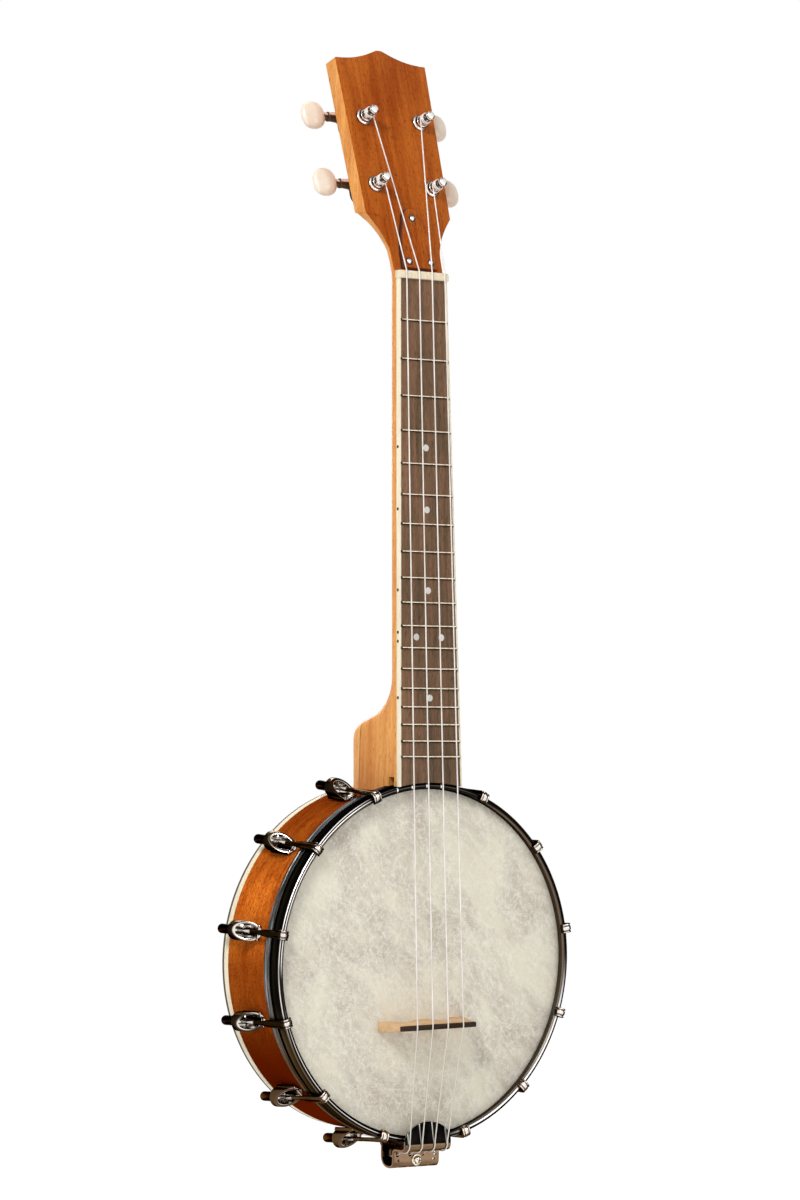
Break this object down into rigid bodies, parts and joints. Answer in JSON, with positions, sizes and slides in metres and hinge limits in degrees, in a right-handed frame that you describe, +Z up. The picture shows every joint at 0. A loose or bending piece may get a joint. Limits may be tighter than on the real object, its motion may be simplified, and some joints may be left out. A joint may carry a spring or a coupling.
{
  "type": "banjo ukulele",
  "caption": "Banjo ukulele with a round open-backed wooden pot, tensioned head, bolted neck with bound fretted fingerboard, worm-geared tuners and folded tailpiece.",
  "frame": {"origin": "the break between neck and headstock, on the centre line of the headstock's face, where a wall hanger's yoke holds the instrument", "axes": "+Z up along the neck, square to the pot's radius; -Y out of the head, towards the player's view; +X to the right seen from the front"},
  "size_m": [0.2248, 0.0896, 0.6556],
  "materials": {
    "mahogany": "satin-varnished mahogany with fine pores",
    "fingerboard_wood": "open-pored dark rosewood, oiled",
    "ivoroid": "cream plastic, polished",
    "chrome": "polished chrome plating",
    "grey_metal": "dull grey rolled band",
    "head_skin": "mottled fibre head, matte off-white",
    "maple": "pale bare maple",
    "ebony": "black ebony, polished",
    "pearl": "pearly cream plastic, glossy",
    "nylon": "clear white string",
    "steel": "plated steel rod"
  },
  "bodies": {
    "instrument": {"rim": "mahogany", "rim_binding": "ivoroid", "head": "head_skin", "flesh_hoop": "grey_metal", "tension_hoop": "chrome", "neck": "mahogany", "truss_rod": "steel", "fingerboard": "fingerboard_wood", "fingerboard_binding": "ivoroid", "nut": "ivoroid", "truss_rod_cover": "mahogany", "tailpiece": "chrome", "coordinator_rod": "steel", "end_nut": "chrome", "bridge": "maple", "bridge_cap": "ebony", "hook_left_1": "chrome", "shoe_left_1": "chrome", "hook_left_2": "chrome", "shoe_left_2": "chrome", "hook_left_3": "chrome", "shoe_left_3": "chrome", "hook_left_4": "chrome", "shoe_left_4": "chrome", "hook_left_5": "chrome", "shoe_left_5": "chrome", "hook_left_6": "chrome", "shoe_left_6": "chrome", "hook_right_1": "chrome", "shoe_right_1": "chrome", "hook_right_2": "chrome", "shoe_right_2": "chrome", "hook_right_3": "chrome", "shoe_right_3": "chrome", "hook_right_4": "chrome", "shoe_right_4": "chrome", "hook_right_5": "chrome", "shoe_right_5": "chrome", "hook_right_6": "chrome", "shoe_right_6": "chrome", "string_1": "nylon", "string_2": "nylon", "string_3": "nylon", "string_4": "nylon", "tuner_housing_lower_left": "chrome", "tuner_housing_upper_left": "chrome", "tuner_housing_lower_right": "chrome", "tuner_housing_upper_right": "chrome"},
    "knob_lower_left": {"tuner_shaft_lower_left": "chrome", "tuner_button_lower_left": "pearl"},
    "post_lower_left": {"tuner_post_lower_left": "chrome"},
    "knob_upper_left": {"tuner_shaft_upper_left": "chrome", "tuner_button_upper_left": "pearl"},
    "post_upper_left": {"tuner_post_upper_left": "chrome"},
    "knob_lower_right": {"tuner_shaft_lower_right": "chrome", "tuner_button_lower_right": "pearl"},
    "post_lower_right": {"tuner_post_lower_right": "chrome"},
    "knob_upper_right": {"tuner_shaft_upper_right": "chrome", "tuner_button_upper_right": "pearl"},
    "post_upper_right": {"tuner_post_upper_right": "chrome"}
  },
  "joints": [
    {"name": "knob_turn_lower_left", "type": "hinge", "parent": "instrument", "child": "knob_lower_left", "pos_m": [-0.0204, 0.03466, 0.05226], "axis": [1, 0, 0], "continuous": true},
    {"name": "post_turn_lower_left", "type": "hinge", "parent": "instrument", "child": "post_lower_left", "pos_m": [-0.0204, 0.03268, 0.04628], "axis": [0, 0.9494, -0.314], "continuous": true},
    {"name": "knob_turn_upper_left", "type": "hinge", "parent": "instrument", "child": "knob_upper_left", "pos_m": [-0.0204, 0.04804, 0.0927], "axis": [1, 0, 0], "continuous": true},
    {"name": "post_turn_upper_left", "type": "hinge", "parent": "instrument", "child": "post_upper_left", "pos_m": [-0.0204, 0.04606, 0.08672], "axis": [0, 0.9494, -0.314], "continuous": true},
    {"name": "knob_turn_lower_right", "type": "hinge", "parent": "instrument", "child": "knob_lower_right", "pos_m": [0.0204, 0.03466, 0.05226], "axis": [1, 0, 0], "continuous": true},
    {"name": "post_turn_lower_right", "type": "hinge", "parent": "instrument", "child": "post_lower_right", "pos_m": [0.0204, 0.03268, 0.04628], "axis": [0, 0.9494, -0.314], "continuous": true},
    {"name": "knob_turn_upper_right", "type": "hinge", "parent": "instrument", "child": "knob_upper_right", "pos_m": [0.0204, 0.04804, 0.0927], "axis": [1, 0, 0], "continuous": true},
    {"name": "post_turn_upper_right", "type": "hinge", "parent": "instrument", "child": "post_upper_right", "pos_m": [0.0204, 0.04606, 0.08672], "axis": [0, 0.9494, -0.314], "continuous": true}
  ],
  "couplings": [
    {"joint": "knob_turn_lower_left", "follows": "post_turn_lower_left", "ratio": 14},
    {"joint": "knob_turn_upper_left", "follows": "post_turn_upper_left", "ratio": 14},
    {"joint": "knob_turn_lower_right", "follows": "post_turn_lower_right", "ratio": -14},
    {"joint": "knob_turn_upper_right", "follows": "post_turn_upper_right", "ratio": -14}
  ]
}
